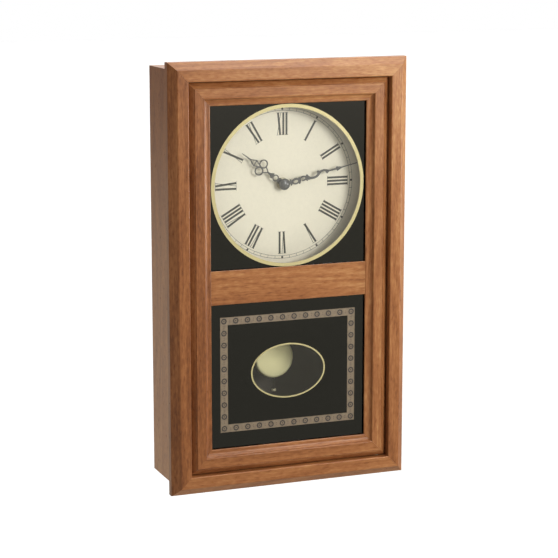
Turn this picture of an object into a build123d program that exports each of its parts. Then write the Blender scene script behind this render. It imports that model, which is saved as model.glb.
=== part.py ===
"""Battery pendulum wall clock in a glazed wooden case, in millimetres.

X runs to the viewer's right, Y into the wall and Z up. The origin is the middle of the round part of the
hanger's keyhole, on the wall. Depths below are measured from the face frame's front towards the wall, and
heights from the middle of the case.
"""
from build123d import *
from math import cos, sin, radians, degrees, atan2, hypot
import os

# Overall size
overall_depth = 101.6
hang_height = 218.0

# Face frame: mitred moulding with a bevelled outer edge
frame_width = 304.8
frame_height = 520.7
frame_thick = 19.05
frame_stock = 23.2
frame_bevel = 9.5
frame_ease = 0.7

# Case: mitred boards with a rebate for the back panel
case_width = 290.0
case_height = 501.3
board_thick = 12.7
rebate_width = 7.0
rebate_depth = 5.5
panel_thick = 4.0
panel_play = 0.3
access_width = 100.0
access_height = 124.0
access_low = 24.0
access_corner = 8.0

# Inset door
door_gap = 1.0
door_recess = 3.8
door_thick = 18.0
door_chamfer_wide = 6.9
door_chamfer_deep = 5.5
face_edge = 19.6
lip_depth = 9.3
lip_end = 28.15
lip_ease = 0.65
glass_rebate = 21.7
glass_front = 11.0
glass_thick = 2.0
glass_play = 0.3
cross_top = 11.1
cross_bottom = -30.2
cross_front = 9.8
cross_lap = 6.5
cross_ease = 0.5
strip_thick = 4.0
strip_width = 4.8

# Print on the back of the panes
gold_thick = 0.1
black_thick = 0.2
ring_outer = 98.2
ring_inner = 93.9
oval_height = -118.2
oval_wide = 48.4
oval_tall = 34.0
oval_line = 1.8
print_lap = 0.6

# Door pivots and catch
pivot_x = 118.6
pivot_depth = 12.5
pivot_radius = 2.0
pivot_in_door = 5.5
pivot_in_frame = 7.0
bush_end_gap = 1.0
bush_radius = 3.25
running_fit = 0.06
loose_fit = 0.05
press_fit = 0.03
catch_height = -60.0
catch_front = 23.4
catch_size = (20.0, 40.0, 15.0)
catch_ear = 9.0
catch_ear_thick = 3.0
catch_wall = 1.5
magnet_size = (10.0, 22.0, 11.0)
strike_size = (12.0, 30.0, 1.2)
strike_x = -117.0
strike_pin_radius = 1.2
strike_pin_length = 8.0

# Hanger
rail_low = 205.0
rail_thick = 12.0
plate_thick = 1.5
plate_width = 48.0
plate_low = 208.0
plate_high = 233.0
plate_corner = 3.0
plate_screw_x = 17.0
keyhole_radius = 5.0
keyhole_slot = 2.5
keyhole_rise = 9.0
pocket_radius = 6.5
pocket_depth = 13.0

# Countersunk screws, and how far out they stand as shares of the panel's half width and height
screw_head = 2.75
screw_radius = 1.4
screw_length = 14.0
screw_slot = 0.8
panel_screw_across = 0.6
panel_screw_up = 0.75

# Dial and its board
dial_height = 109.0
dial_front = 33.4
dial_thick = 0.5
dial_width = 224.0
dial_tall = 216.0
dial_corner = 12.0
dial_board_thick = 4.6
dial_board_width = 263.0
dial_board_low = -4.0
dial_board_high = 222.0
cleat_size = 15.0
cleat_low = 2.0
cleat_high = 214.0
board_screw_heights = (20.0, 196.0)

# Movement: a moulded case behind the dial board, with the hand shaft at its upper middle
movement_front = 39.2
movement_width = 66.0
shell_high = dial_height + 26.0
shell_low = dial_height - 76.0
shell_wall = 1.8
shell_corner = 4.0
cover_thick = 1.6
movement_depth = 19.0
post_radius = 4.0
post_end = 30.4
hour_pipe_outer = 2.6
hour_pipe_inner = 1.9
hour_pipe_end = 27.8
minute_radius = 1.8
minute_tip_radius = 1.4
minute_tip_length = 2.0
setting_radius = 1.0
knob_radius = 6.0
knob_notches = 24
notch_radius = 0.5
arbor_radius = 0.75
arbor_play = 0.1
pivot_pocket = 1.0

# Gear trains: tooth counts and modules
motion_module = 0.38
cannon_teeth = 15
motion_teeth = 45
motion_pinion_teeth = 12
hour_teeth = 48
slow_module = 0.3
fast_module = 0.25
centre_teeth = 64
third_pinion_teeth = 8
third_teeth = 60
second_pinion_teeth = 8
second_teeth = 60
intermediate_pinion_teeth = 12
intermediate_teeth = 60
rotor_pinion_teeth = 10
tooth_tip = 0.8
tooth_root = 1.2
tip_share = 0.09
pitch_share = 0.2
root_share = 0.26

# Directions in which each wheel stands from the one before it, anticlockwise from +X, in degrees
motion_direction = 90.0
third_direction = 200.0
second_direction = 300.0
intermediate_direction = 0.0
rotor_direction = 20.0

# Hands, standing at about twelve minutes past ten
hour_angle = 306.4
minute_angle = 77.0
hour_hand_back = 28.5
minute_hand_back = 26.0
hand_thick = 0.6
hub_radius = 7.0
minute_length = 97.5
hour_length = 66.3
hand_nut_radius = 5.2
hand_nut_rise = 2.0
hand_nut_rim = 0.3
hand_nut_bore = 1.45

# Pendulum
swing_height = dial_height - 48.0
magnet_drop = 16.0
hook_drop = 30.0
hanger_front = 59.2
hanger_thick = 1.8
rod_depth = 62.4
rod_radius = 1.25
rod_low = -157.5
bob_height = -113.0
bob_radius = 25.4
bob_rim = 2.4
bob_rim_front = 60.4
bob_apex = 56.9
bob_back = 65.6
end_nut_height = -154.3
end_nut_radius = 3.0
end_nut_tall = 3.0
end_nut_chamfer = 0.6

# Sizes that follow
door_width = frame_width - 2 * frame_stock - 2 * door_gap
door_height = frame_height - 2 * frame_stock - 2 * door_gap
door_back = door_recess + door_thick
cove_radius = lip_depth - door_recess
pane_half = door_width / 2 - glass_rebate - glass_play
pane_end = door_height / 2 - glass_rebate - glass_play
glass_back = glass_front + glass_thick
black_front = glass_back + gold_thick
black_back = black_front + black_thick
case_half = case_width / 2 - board_thick
case_end = case_height / 2 - board_thick
panel_front = overall_depth - rebate_depth
panel_back = panel_front + panel_thick
board_front = dial_front + dial_thick
board_back = board_front + dial_board_thick
cover_front = movement_front + movement_depth - cover_thick
cover_back = movement_front + movement_depth
floor_back = movement_front + shell_wall

os.makedirs("parts", exist_ok=True)


def facing(depth, x=0.0, z=0.0, turn=0.0):
    """Plane that faces the viewer at a depth, turned clockwise: local x is right and local y is up."""
    return Plane(
        origin=(x, depth - overall_depth, z - hang_height),
        x_dir=(cos(radians(turn)), 0, -sin(radians(turn))),
        z_dir=(0, -1, 0),
    )


def behind(depth, x=0.0, z=0.0):
    """Plane that faces the wall at a depth."""
    return Plane(
        origin=(x, depth - overall_depth, z - hang_height), x_dir=(-1, 0, 0), z_dir=(0, 1, 0)
    )


def upright(x, depth, z):
    """Level plane, facing up, at a point of the case."""
    return Plane(origin=(x, depth - overall_depth, z - hang_height), z_dir=(0, 0, 1))


def save(builder, name):
    """Label a finished piece and write it under its own name."""
    builder.part.label = name
    export_step(builder.part, f"parts/{name}.step")


def patch(*points, mode=Mode.ADD):
    """Add or cut a face with straight edges, in the open sketch."""
    with BuildLine() as outline:
        Polyline(*points, close=True)
    make_face(outline.edges(), mode=mode)


def block(front, back, left, right, low, high, mode=Mode.ADD):
    """Add or cut a box given by its two depths, sides and heights."""
    with BuildSketch(facing(back)) as face:
        patch((left, low), (right, low), (right, high), (left, high))
    extrude(face.sketch, amount=back - front, mode=mode)


def disc(front, back, radius, x=0.0, z=0.0, mode=Mode.ADD):
    """Add or cut a round bar that runs from front to back."""
    with BuildSketch(facing(back, x, z)) as face:
        Circle(radius)
    extrude(face.sketch, amount=back - front, mode=mode)


def cut_screw_holes(places):
    """Cut clearance for countersunk screws."""
    with Locations(*places):
        Cone(
            screw_radius + loose_fit,
            screw_head + loose_fit,
            screw_head - screw_radius,
            align=(Align.CENTER, Align.CENTER, Align.MAX),
            mode=Mode.SUBTRACT,
        )
        Cylinder(
            screw_radius + loose_fit,
            screw_length + 2 * loose_fit,
            align=(Align.CENTER, Align.CENTER, Align.MAX),
            mode=Mode.SUBTRACT,
        )


# Outward direction of each side of a frame
sides = {
    "left": Vector(-1, 0, 0),
    "right": Vector(1, 0, 0),
    "top": Vector(0, 0, 1),
    "bottom": Vector(0, 0, -1),
}
middle = Vector(0, -overall_depth, -hang_height)


def mitred(side, width, height, draw_section):
    """Extrude a section along one side of a frame and cut its ends at 45 degrees.

    The section is drawn with x outwards from the middle of the frame and y as the depth.
    """
    outward = sides[side]
    along = outward.cross(Vector(0, 1, 0))
    reach, half_length = (width / 2, height / 2) if outward.Z == 0 else (height / 2, width / 2)
    with BuildSketch(Plane(origin=middle, x_dir=outward, z_dir=along)) as section:
        draw_section(reach)
    extrude(section.sketch, amount=half_length, both=True)
    for end in (-1, 1):
        corner = middle + outward * reach + along * (end * half_length)
        split(bisect_by=Plane(origin=corner, z_dir=outward - along * end), keep=Keep.TOP)


def frame_section(reach):
    inner = reach - frame_stock
    patch(
        (inner, frame_thick),
        (inner, frame_ease),
        (inner + frame_ease, 0),
        (reach - frame_bevel, 0),
        (reach, frame_bevel),
        (reach, frame_thick),
    )


def board_section(reach):
    inner = reach - board_thick
    patch(
        (inner, frame_thick),
        (reach, frame_thick),
        (reach, overall_depth),
        (inner + rebate_width, overall_depth),
        (inner + rebate_width, panel_front),
        (inner, panel_front),
    )


def door_section(reach):
    """Bevelled outer edge, flat face, cove down to a narrow lip, and a rebate for the glass."""
    cove_top = (reach - face_edge, door_recess)
    cove_end = (reach - face_edge - cove_radius, lip_depth)
    cove_middle = (
        cove_end[0] + cove_radius * cos(radians(45)),
        cove_top[1] + cove_radius * sin(radians(45)),
    )
    with BuildLine() as outline:
        Polyline(
            (reach, door_back),
            (reach, door_recess + door_chamfer_deep),
            (reach - door_chamfer_wide, door_recess),
            cove_top,
        )
        ThreePointArc(cove_top, cove_middle, cove_end)
        Polyline(
            cove_end,
            (reach - lip_end + lip_ease, lip_depth),
            (reach - lip_end, lip_depth + lip_ease),
            (reach - lip_end, glass_front),
            (reach - glass_rebate, glass_front),
            (reach - glass_rebate, door_back),
            (reach, door_back),
        )
    make_face(outline.edges())


# Where the screws go: each plane sits on the head, facing out of the hole
panel_screw_x = case_half + (rebate_width - panel_play) / 2
panel_screw_z = case_end + (rebate_width - panel_play) / 2
panel_screws = [
    behind(panel_back, x, z)
    for x in (-panel_screw_x, panel_screw_x)
    for z in (-panel_screw_up * panel_screw_z, 0, panel_screw_up * panel_screw_z)
]
panel_screws += [
    behind(panel_back, x, z)
    for x in (-panel_screw_across * panel_screw_x, panel_screw_across * panel_screw_x)
    for z in (-panel_screw_z, panel_screw_z)
]
plate_screw_z = (plate_low + plate_high) / 2
plate_screws = [behind(overall_depth, x, plate_screw_z) for x in (-plate_screw_x, plate_screw_x)]
board_screw_x = case_half - cleat_size / 2
board_screws = [
    facing(board_front, x, z)
    for x in (-board_screw_x, board_screw_x)
    for z in board_screw_heights
]
catch_screw_depth = catch_front + catch_size[2] / 2
catch_screw_x = -case_half + catch_ear_thick
catch_screws = [
    Plane(
        origin=(catch_screw_x, catch_screw_depth - overall_depth, z - hang_height), z_dir=(1, 0, 0)
    )
    for z in (
        catch_height - (catch_size[1] + catch_ear) / 2,
        catch_height + (catch_size[1] + catch_ear) / 2,
    )
]

# Case boards
for side in sides:
    with BuildPart() as board:
        mitred(side, case_width, case_height, board_section)
        cut_screw_holes(panel_screws)
        if side == "left":
            cut_screw_holes(catch_screws)
    save(board, f"case_{side}_side" if side in ("left", "right") else f"case_{side}")

# Face frame, with bushed holes for the door's pivots in its top and bottom
frame_inner_end = frame_height / 2 - frame_stock
bush_length = pivot_in_frame + bush_end_gap
for side in sides:
    with BuildPart() as moulding:
        mitred(side, frame_width, frame_height, frame_section)
        if side in ("top", "bottom"):
            sign = 1 if side == "top" else -1
            with BuildSketch(upright(pivot_x, pivot_depth, sign * frame_inner_end)):
                Circle(bush_radius + loose_fit)
            extrude(amount=sign * (bush_length + loose_fit), mode=Mode.SUBTRACT)
    save(moulding, f"face_frame_{side}")

with BuildPart() as pivot_bushes:
    for sign in (-1, 1):
        with BuildSketch(upright(pivot_x, pivot_depth, sign * frame_inner_end)):
            Circle(bush_radius)
            Circle(pivot_radius + running_fit, mode=Mode.SUBTRACT)
        extrude(amount=sign * bush_length)
save(pivot_bushes, "pivot_bushes")

# Back panel with an access hole behind the movement, up to the underside of the hanging rail
panel_half = case_half + rebate_width - panel_play
panel_end = case_end + rebate_width - panel_play
with BuildPart() as back_panel:
    block(panel_front, panel_back, -panel_half, panel_half, -panel_end, rail_low - panel_play)
    with BuildSketch(facing(panel_back, 0, access_low + access_height / 2)):
        RectangleRounded(access_width, access_height, access_corner)
    extrude(amount=panel_thick, mode=Mode.SUBTRACT)
    cut_screw_holes(panel_screws)
save(back_panel, "back_panel")

# Hanging rail between the side boards, with a lip in their rebate and a pocket for the wall screw's head
with BuildPart() as hanging_rail:
    block(panel_front - rail_thick, panel_front, -case_half, case_half, rail_low, case_end)
    block(panel_front, panel_back, -panel_half, panel_half, rail_low, panel_end)
    with BuildSketch(facing(panel_back, 0, hang_height + keyhole_rise / 2)):
        SlotCenterToCenter(keyhole_rise, 2 * pocket_radius, rotation=90)
    extrude(amount=pocket_depth, mode=Mode.SUBTRACT)
    cut_screw_holes(panel_screws)
    cut_screw_holes(plate_screws)
save(hanging_rail, "hanging_rail")

# Keyhole hanger plate, flush with the back of the case
with BuildPart() as hanger_plate:
    with BuildSketch(facing(overall_depth, 0, plate_screw_z)):
        RectangleRounded(plate_width, plate_high - plate_low, plate_corner)
    extrude(amount=plate_thick)
    disc(overall_depth - plate_thick, overall_depth, keyhole_radius, 0, hang_height, Mode.SUBTRACT)
    with BuildSketch(facing(overall_depth, 0, hang_height + keyhole_rise / 2)):
        SlotCenterToCenter(keyhole_rise, 2 * keyhole_slot, rotation=90)
    extrude(amount=plate_thick, mode=Mode.SUBTRACT)
    cut_screw_holes(plate_screws)
save(hanger_plate, "hanger_plate")

# All the countersunk screws of the case
with BuildPart() as case_screws:
    with Locations(*panel_screws, *plate_screws, *board_screws, *catch_screws):
        Cone(
            screw_radius,
            screw_head,
            screw_head - screw_radius,
            align=(Align.CENTER, Align.CENTER, Align.MAX),
        )
        Cylinder(screw_radius, screw_length, align=(Align.CENTER, Align.CENTER, Align.MAX))
        Box(
            2 * screw_head,
            screw_slot,
            screw_slot,
            align=(Align.CENTER, Align.CENTER, Align.MAX),
            mode=Mode.SUBTRACT,
        )
save(case_screws, "case_screws")

# Magnetic catch on the left board: a moulded housing with two ears, and its magnet
catch_right = -case_half + catch_size[0]
catch_low = catch_height - catch_size[1] / 2
catch_high = catch_height + catch_size[1] / 2
catch_back = catch_front + catch_size[2]
magnet_right = catch_right - catch_wall
magnet_left = magnet_right - magnet_size[0]
magnet_low = catch_height - magnet_size[1] / 2
magnet_high = catch_height + magnet_size[1] / 2
with BuildPart() as door_catch:
    block(catch_front, catch_back, -case_half, catch_right, catch_low, catch_high)
    block(
        catch_front,
        catch_back,
        -case_half,
        -case_half + catch_ear_thick,
        catch_low - catch_ear,
        catch_high + catch_ear,
    )
    block(
        catch_front,
        catch_front + magnet_size[2] + loose_fit,
        magnet_left - loose_fit,
        magnet_right + loose_fit,
        magnet_low - loose_fit,
        magnet_high + loose_fit,
        Mode.SUBTRACT,
    )
    cut_screw_holes(catch_screws)
save(door_catch, "door_catch")

with BuildPart() as catch_magnet:
    block(
        catch_front, catch_front + magnet_size[2], magnet_left, magnet_right, magnet_low, magnet_high
    )
save(catch_magnet, "catch_magnet")

# Door members
strike_left = strike_x - strike_size[0] / 2
strike_right = strike_x + strike_size[0] / 2
door_names = {
    "left": "door_left_stile",
    "right": "door_right_stile",
    "top": "door_top_rail",
    "bottom": "door_bottom_rail",
}
for side, name in door_names.items():
    with BuildPart() as member:
        mitred(side, door_width, door_height, door_section)
        if side == "left":
            disc(
                door_back - strike_pin_length - loose_fit,
                door_back,
                strike_pin_radius + loose_fit,
                strike_x,
                catch_height,
                Mode.SUBTRACT,
            )
        if side in ("top", "bottom"):
            sign = 1 if side == "top" else -1
            with BuildSketch(upright(pivot_x, pivot_depth, sign * door_height / 2)):
                Circle(pivot_radius + loose_fit)
            extrude(amount=-sign * (pivot_in_door + loose_fit), mode=Mode.SUBTRACT)
    save(member, name)

# Cross rail: a thin face that laps both panes, on a body between their rebates
lip_half = door_width / 2 - lip_end
rebate_half = door_width / 2 - glass_rebate
cross_body_top = cross_top - cross_lap
cross_body_bottom = cross_bottom + cross_lap
with BuildPart() as door_cross_rail:
    block(cross_front, glass_front, -lip_half, lip_half, cross_bottom, cross_top)
    chamfer(door_cross_rail.faces().sort_by(Axis.Y)[0].edges().filter_by(Axis.X), cross_ease)
    block(glass_front, door_back, -rebate_half, rebate_half, cross_body_bottom, cross_body_top)
save(door_cross_rail, "door_cross_rail")

# Panes, and the print on their backs
upper_pane = (-pane_half, pane_half, cross_body_top + glass_play, pane_end)
lower_pane = (-pane_half, pane_half, -pane_end, cross_body_bottom - glass_play)

with BuildPart() as upper_glass:
    block(glass_front, glass_back, *upper_pane)
save(upper_glass, "upper_glass")

with BuildPart() as lower_glass:
    block(glass_front, glass_back, *lower_pane)
save(lower_glass, "lower_glass")

with BuildPart() as dial_mask:
    block(black_front, black_back, *upper_pane)
    disc(black_front, black_back, ring_inner + print_lap, 0, dial_height, Mode.SUBTRACT)
save(dial_mask, "dial_mask")

with BuildPart() as pendulum_mask:
    block(black_front, black_back, *lower_pane)
    with BuildSketch(facing(black_back, 0, oval_height)):
        Ellipse(oval_wide - oval_line + print_lap, oval_tall - oval_line + print_lap)
    extrude(amount=black_thick, mode=Mode.SUBTRACT)
save(pendulum_mask, "pendulum_mask")

with BuildPart() as gold_lines:
    with BuildSketch(facing(black_front, 0, dial_height)):
        Circle(ring_outer)
        Circle(ring_inner, mode=Mode.SUBTRACT)
    extrude(amount=gold_thick)
    with BuildSketch(facing(black_front, 0, oval_height)):
        Ellipse(oval_wide, oval_tall)
        Ellipse(oval_wide - oval_line, oval_tall - oval_line, mode=Mode.SUBTRACT)
    extrude(amount=gold_thick)
save(gold_lines, "gold_lines")

# Glazing strips that hold each pane in its rebate
with BuildPart() as glazing_strips:
    for left, right, low, high in (upper_pane, lower_pane):
        strip_back = black_back + strip_thick
        block(black_back, strip_back, left, right, high - strip_width, high)
        block(black_back, strip_back, left, right, low, low + strip_width)
        for start, end in ((left, left + strip_width), (right - strip_width, right)):
            block(
                black_back,
                strip_back,
                start,
                end,
                low + strip_width + glass_play,
                high - strip_width - glass_play,
            )
save(glazing_strips, "glazing_strips")

# Pins on which the door turns
with BuildPart() as door_pivot_pins:
    for sign in (-1, 1):
        with BuildSketch(upright(pivot_x, pivot_depth, sign * (door_height / 2 - pivot_in_door))):
            Circle(pivot_radius)
        extrude(amount=sign * (pivot_in_door + door_gap + pivot_in_frame))
save(door_pivot_pins, "door_pivot_pins")

# Steel strike with a barbed pin, on the back of the left stile
with BuildPart() as strike_plate:
    block(
        door_back,
        door_back + strike_size[2],
        strike_left,
        strike_right,
        catch_height - strike_size[1] / 2,
        catch_height + strike_size[1] / 2,
    )
    disc(door_back - strike_pin_length, door_back, strike_pin_radius, strike_x, catch_height)
save(strike_plate, "strike_plate")

# Dial plate on its board, which is screwed to two cleats
with BuildPart() as dial_cleats:
    for left in (-case_half, case_half - cleat_size):
        block(board_back, board_back + cleat_size, left, left + cleat_size, cleat_low, cleat_high)
    cut_screw_holes(board_screws)
save(dial_cleats, "dial_cleats")

with BuildPart() as dial_board:
    block(
        board_front,
        board_back,
        -dial_board_width / 2,
        dial_board_width / 2,
        dial_board_low,
        dial_board_high,
    )
    disc(board_front, board_back, post_radius + loose_fit, 0, dial_height, Mode.SUBTRACT)
    cut_screw_holes(board_screws)
save(dial_board, "dial_board")

with BuildPart() as dial_plate:
    with BuildSketch(facing(board_front, 0, dial_height)):
        RectangleRounded(dial_width, dial_tall, dial_corner)
        Circle(post_radius + loose_fit, mode=Mode.SUBTRACT)
    extrude(amount=dial_thick)
save(dial_plate, "dial_plate")


def step_from(start, distance, direction):
    """Point at a distance and direction from another, in the dial's plane."""
    return (
        start[0] + distance * cos(radians(direction)),
        start[1] + distance * sin(radians(direction)),
    )


def gear_distance(teeth, other_teeth, module):
    return (teeth + other_teeth) * module / 2


# Where each arbor stands, in the dial's plane
hand_axis = (0.0, dial_height)
motion_axis = step_from(
    hand_axis, gear_distance(cannon_teeth, motion_teeth, motion_module), motion_direction
)
third_axis = step_from(
    hand_axis, gear_distance(centre_teeth, third_pinion_teeth, slow_module), third_direction
)
second_axis = step_from(
    third_axis, gear_distance(third_teeth, second_pinion_teeth, slow_module), second_direction
)
intermediate_axis = step_from(
    second_axis,
    gear_distance(second_teeth, intermediate_pinion_teeth, fast_module),
    intermediate_direction,
)
rotor_axis = step_from(
    intermediate_axis,
    gear_distance(intermediate_teeth, rotor_pinion_teeth, fast_module),
    rotor_direction,
)
train_axes = (third_axis, second_axis, intermediate_axis, rotor_axis)

# Depth of each gear inside the movement, front and back, from its front face
hour_layer = (2.3, 3.5)
motion_pinion_layer = (2.1, 3.7)
motion_layer = (4.6, 5.8)
cannon_layer = (4.3, 6.1)
centre_layer = (6.9, 7.9)
third_pinion_layer = (6.7, 8.1)
third_layer = (8.9, 9.7)
second_pinion_layer = (8.7, 9.9)
second_layer = (10.7, 11.5)
intermediate_pinion_layer = (10.5, 11.7)
intermediate_layer = (12.7, 13.5)
rotor_pinion_layer = (12.5, 13.7)
rotor_magnet_layer = (8.6, 11.6)
stator_layer = (9.6, 10.6)
knob_layer = (movement_depth + 0.6, movement_depth + 4.6)
setting_end = movement_depth + 4.4
arbor_layer = (
    shell_wall - pivot_pocket + arbor_play,
    movement_depth - cover_thick + pivot_pocket - arbor_play,
)


def gear(teeth, module, axis, layer, tooth_direction):
    """Add a spur gear with one tooth centred on a direction."""
    pitch_radius = teeth * module / 2
    flank = (
        (-root_share, pitch_radius - tooth_root * module),
        (-pitch_share, pitch_radius),
        (-tip_share, pitch_radius + tooth_tip * module),
        (tip_share, pitch_radius + tooth_tip * module),
        (pitch_share, pitch_radius),
        (root_share, pitch_radius - tooth_root * module),
    )
    pitch = 360 / teeth
    outline = []
    for tooth in range(teeth):
        for share, radius in flank:
            angle = radians(tooth_direction + (tooth + share) * pitch)
            outline.append((radius * cos(angle), radius * sin(angle)))
    with BuildSketch(facing(movement_front + layer[1], *axis)) as face:
        patch(*outline)
    extrude(face.sketch, amount=layer[1] - layer[0])


def gap_direction(direction, teeth):
    """Direction for the first tooth that leaves a gap facing a mate which stands in a direction."""
    return direction + 180 / teeth


def bar(layer, radius, axis, mode=Mode.ADD):
    """Add or cut a round bar between two depths inside the movement."""
    disc(movement_front + layer[0], movement_front + layer[1], radius, *axis, mode)


# Movement case: an open moulded box with the threaded post for the hands
shell_middle = (shell_low + shell_high) / 2
shell_height = shell_high - shell_low
pocket = arbor_radius + running_fit
pocket_layer = (shell_wall - pivot_pocket, shell_wall)
with BuildPart() as movement_case:
    with BuildSketch(facing(cover_front, 0, shell_middle)):
        RectangleRounded(movement_width, shell_height, shell_corner)
    extrude(amount=cover_front - movement_front)
    with BuildSketch(facing(cover_front, 0, shell_middle)):
        RectangleRounded(
            movement_width - 2 * shell_wall, shell_height - 2 * shell_wall, shell_corner - shell_wall
        )
    extrude(amount=cover_front - floor_back, mode=Mode.SUBTRACT)
    disc(post_end, movement_front, post_radius, *hand_axis)
    disc(post_end, floor_back, hour_pipe_outer + running_fit, *hand_axis, Mode.SUBTRACT)
    for axis in train_axes:
        bar(pocket_layer, pocket, axis, Mode.SUBTRACT)
    bar(pocket_layer, setting_radius + running_fit, motion_axis, Mode.SUBTRACT)
save(movement_case, "movement_case")

# Rear cover, with the battery bay open and a hole for the setting arbor
battery_radius = 7.25
battery_length = 50.5
battery_height = dial_height - 34.0
battery_depth = movement_front + 9.6
battery_left = -27.5
bay_left = -28.5
bay_right = 26.0
bay_play = 0.3
pin_radius = 1.0
pin_seat_radius = 3.0
pin_seat_depth = 2.0
cover_pocket_layer = (movement_depth - cover_thick, movement_depth - cover_thick + pivot_pocket)
with BuildPart() as movement_cover:
    with BuildSketch(facing(cover_back, 0, shell_middle)):
        RectangleRounded(movement_width, shell_height, shell_corner)
    extrude(amount=cover_thick)
    disc(cover_front - pin_seat_depth, cover_front, pin_seat_radius, 0, swing_height)
    block(
        cover_front,
        cover_back,
        bay_left,
        bay_right,
        battery_height - battery_radius - bay_play,
        battery_height + battery_radius + bay_play,
        Mode.SUBTRACT,
    )
    disc(cover_front, cover_back, setting_radius + running_fit, *motion_axis, Mode.SUBTRACT)
    disc(
        cover_front - pin_seat_depth,
        cover_back,
        pin_radius + press_fit,
        0,
        swing_height,
        Mode.SUBTRACT,
    )
    for axis in (*train_axes, hand_axis):
        bar(cover_pocket_layer, pocket, axis, Mode.SUBTRACT)
save(movement_cover, "movement_cover")

# What fixes the movement to the dial board
rubber_radius = 15.0
washer_radius = 7.5
washer_front = dial_front - 0.6
nut_across_flats = 11.0
nut_front = washer_front - 2.0
with BuildPart() as rubber_washer:
    disc(board_back, movement_front, rubber_radius, *hand_axis)
    disc(board_back, movement_front, post_radius + loose_fit, *hand_axis, Mode.SUBTRACT)
save(rubber_washer, "rubber_washer")

with BuildPart() as brass_washer:
    disc(washer_front, dial_front, washer_radius, *hand_axis)
    disc(washer_front, dial_front, post_radius + loose_fit, *hand_axis, Mode.SUBTRACT)
save(brass_washer, "brass_washer")

with BuildPart() as fixing_nut:
    with BuildSketch(facing(washer_front, *hand_axis)):
        RegularPolygon(nut_across_flats / 2, 6, major_radius=False)
        Circle(post_radius + loose_fit, mode=Mode.SUBTRACT)
    extrude(amount=washer_front - nut_front)
save(fixing_nut, "fixing_nut")

# Motion work: cannon pinion on the minute arbor, the setting arbor's wheel and pinion, and the hour wheel
minute_body_end = centre_layer[1] + 0.3
with BuildPart() as minute_arbor:
    gear(cannon_teeth, motion_module, hand_axis, cannon_layer, motion_direction)
    disc(minute_hand_back, movement_front + minute_body_end, minute_radius, *hand_axis)
    disc(minute_hand_back - minute_tip_length, minute_hand_back, minute_tip_radius, *hand_axis)
    bar((minute_body_end, arbor_layer[1]), arbor_radius, hand_axis)
save(minute_arbor, "minute_arbor")

with BuildPart() as setting_arbor:
    gear(
        motion_teeth,
        motion_module,
        motion_axis,
        motion_layer,
        gap_direction(motion_direction + 180, motion_teeth),
    )
    gear(
        motion_pinion_teeth,
        motion_module,
        motion_axis,
        motion_pinion_layer,
        gap_direction(motion_direction + 180, motion_pinion_teeth),
    )
    bar((arbor_layer[0], setting_end), setting_radius, motion_axis)
save(setting_arbor, "setting_arbor")

with BuildPart() as setting_knob:
    with BuildSketch(facing(movement_front + knob_layer[1], *motion_axis)):
        Circle(knob_radius)
        with PolarLocations(knob_radius, knob_notches):
            Circle(notch_radius, mode=Mode.SUBTRACT)
    extrude(amount=knob_layer[1] - knob_layer[0])
    bar((knob_layer[0], setting_end), setting_radius + press_fit, motion_axis, Mode.SUBTRACT)
save(setting_knob, "setting_knob")

with BuildPart() as hour_wheel:
    gear(hour_teeth, motion_module, hand_axis, hour_layer, motion_direction)
    disc(hour_pipe_end, movement_front + hour_layer[1], hour_pipe_outer, *hand_axis)
    disc(
        hour_pipe_end,
        movement_front + hour_layer[1],
        hour_pipe_inner,
        *hand_axis,
        Mode.SUBTRACT,
    )
save(hour_wheel, "hour_wheel")

# Going train: the motor's rotor drives the centre wheel, whose clutch slips when the hands are set
with BuildPart() as centre_wheel:
    gear(centre_teeth, slow_module, hand_axis, centre_layer, third_direction)
    bar(centre_layer, minute_radius + running_fit, hand_axis, Mode.SUBTRACT)
save(centre_wheel, "centre_wheel")

with BuildPart() as third_wheel:
    gear(
        third_pinion_teeth,
        slow_module,
        third_axis,
        third_pinion_layer,
        gap_direction(third_direction + 180, third_pinion_teeth),
    )
    gear(third_teeth, slow_module, third_axis, third_layer, second_direction)
    bar(arbor_layer, arbor_radius, third_axis)
save(third_wheel, "third_wheel")

with BuildPart() as second_wheel:
    gear(
        second_pinion_teeth,
        slow_module,
        second_axis,
        second_pinion_layer,
        gap_direction(second_direction + 180, second_pinion_teeth),
    )
    gear(second_teeth, fast_module, second_axis, second_layer, intermediate_direction)
    bar(arbor_layer, arbor_radius, second_axis)
save(second_wheel, "second_wheel")

with BuildPart() as intermediate_wheel:
    gear(
        intermediate_pinion_teeth,
        fast_module,
        intermediate_axis,
        intermediate_pinion_layer,
        gap_direction(intermediate_direction + 180, intermediate_pinion_teeth),
    )
    gear(intermediate_teeth, fast_module, intermediate_axis, intermediate_layer, rotor_direction)
    bar(arbor_layer, arbor_radius, intermediate_axis)
save(intermediate_wheel, "intermediate_wheel")

rotor_radius = 2.5
with BuildPart() as rotor:
    gear(
        rotor_pinion_teeth,
        fast_module,
        rotor_axis,
        rotor_pinion_layer,
        gap_direction(rotor_direction + 180, rotor_pinion_teeth),
    )
    bar(rotor_magnet_layer, rotor_radius, rotor_axis)
    bar(arbor_layer, arbor_radius, rotor_axis)
save(rotor, "rotor")

# Stepping motor: a laminated stator loop round the rotor, and the coil on its right leg
stator_left = 7.5
stator_right = 25.5
stator_low = dial_height - 15.5
stator_high = dial_height + 22.0
window_left = 11.0
window_right = 22.0
window_low = dial_height - 3.0
window_high = dial_height + 18.0
rotor_bore = 3.2
with BuildPart() as stator:
    block(
        movement_front + stator_layer[0],
        movement_front + stator_layer[1],
        stator_left,
        stator_right,
        stator_low,
        stator_high,
    )
    block(
        movement_front + stator_layer[0],
        movement_front + stator_layer[1],
        window_left,
        window_right,
        window_low,
        window_high,
        Mode.SUBTRACT,
    )
    bar(stator_layer, rotor_bore, rotor_axis, Mode.SUBTRACT)
save(stator, "stator")

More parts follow.
